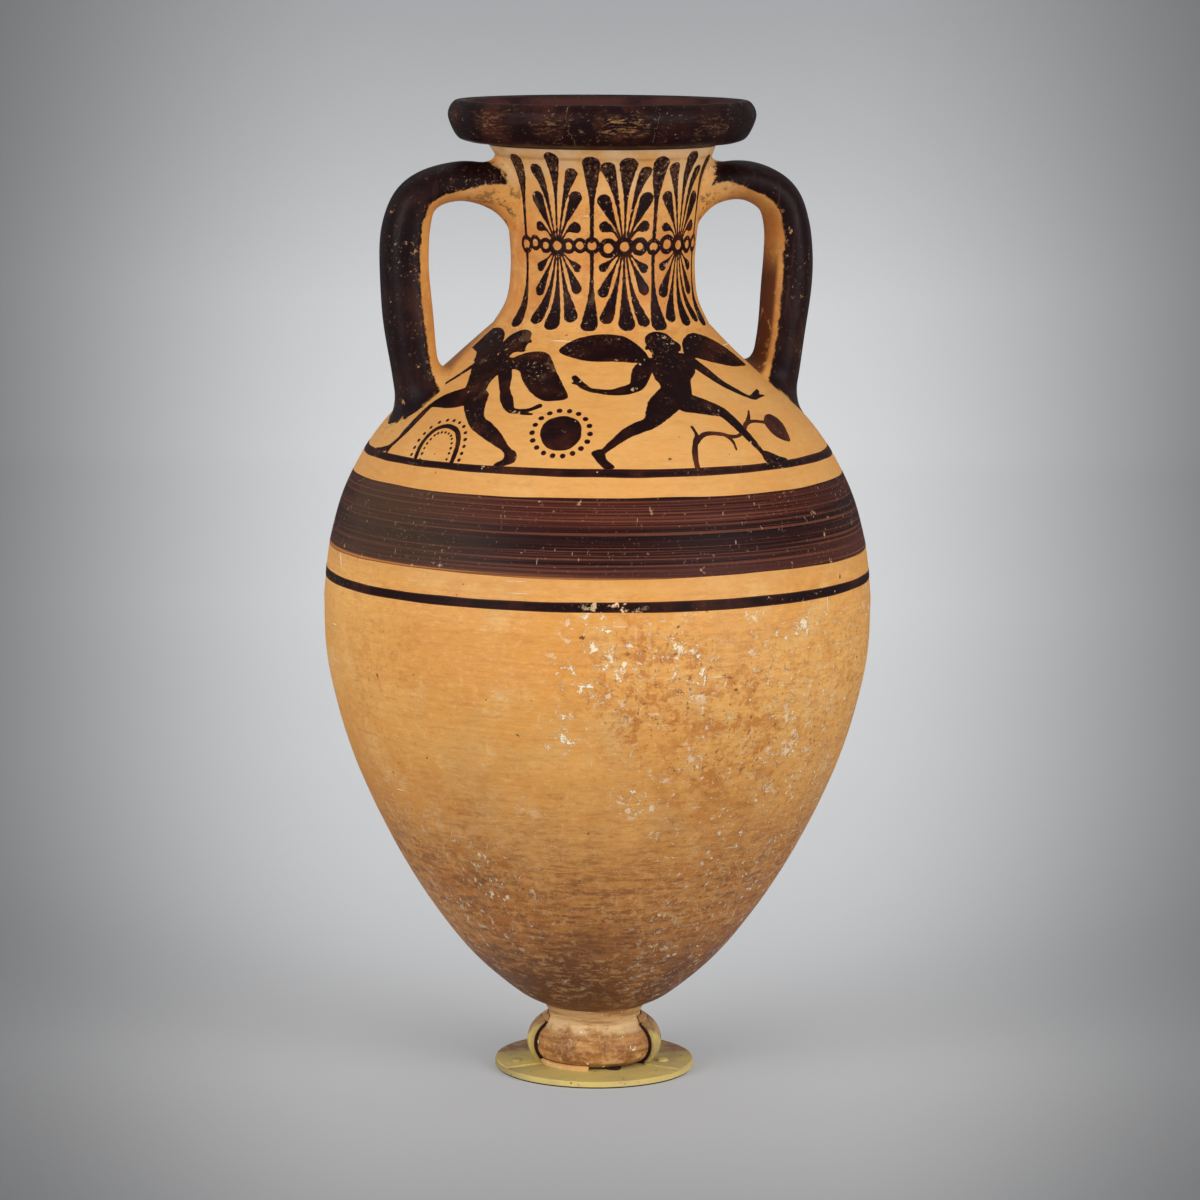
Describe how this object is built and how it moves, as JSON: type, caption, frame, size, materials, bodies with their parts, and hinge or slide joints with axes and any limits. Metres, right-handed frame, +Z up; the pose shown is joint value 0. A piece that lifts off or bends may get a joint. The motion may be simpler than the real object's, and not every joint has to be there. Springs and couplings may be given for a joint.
{
  "type": "amphora",
  "caption": "Painted terracotta neck-amphora with two vertical handles, an egg-shaped body on a small foot, held by a padded round display mount.",
  "frame": {"origin": "centre of the underside of the felt under the mount's plate", "axes": "+Z up along the vase's axis; the handles lie on the X axis, left handle towards -X; side A of the painting faces -Y"},
  "size_m": [0.2532, 0.2532, 0.452],
  "materials": {
    "clay": "burnished buff-orange fired clay with pale lime specks and brown stains",
    "foot_clay": "matt fired clay, toned brown",
    "shim_clay": "matt fired clay",
    "slip": "brown-black fired slip with a dull sheen, worn through at the edges",
    "mount_paint": "brushed olive-yellow paint, chipped",
    "lining": "matt dark padding",
    "felt": "matt dark felt"
  },
  "bodies": {
    "root": {"foot": "foot_clay", "body_lower": "clay", "body_upper": "clay", "neck": "clay", "mouth": "slip", "handle_left": "slip", "handle_right": "slip", "belly_luting_coil": "foot_clay", "neck_luting_coil": "foot_clay", "base_felt": "felt", "mount_plate": "mount_paint", "cup_left": "mount_paint", "cup_right": "mount_paint", "lining_left": "lining", "lining_right": "lining", "cup_screws": "mount_paint", "foot_pads": "felt", "foot_wedge": "shim_clay"}
  },
  "joints": []
}
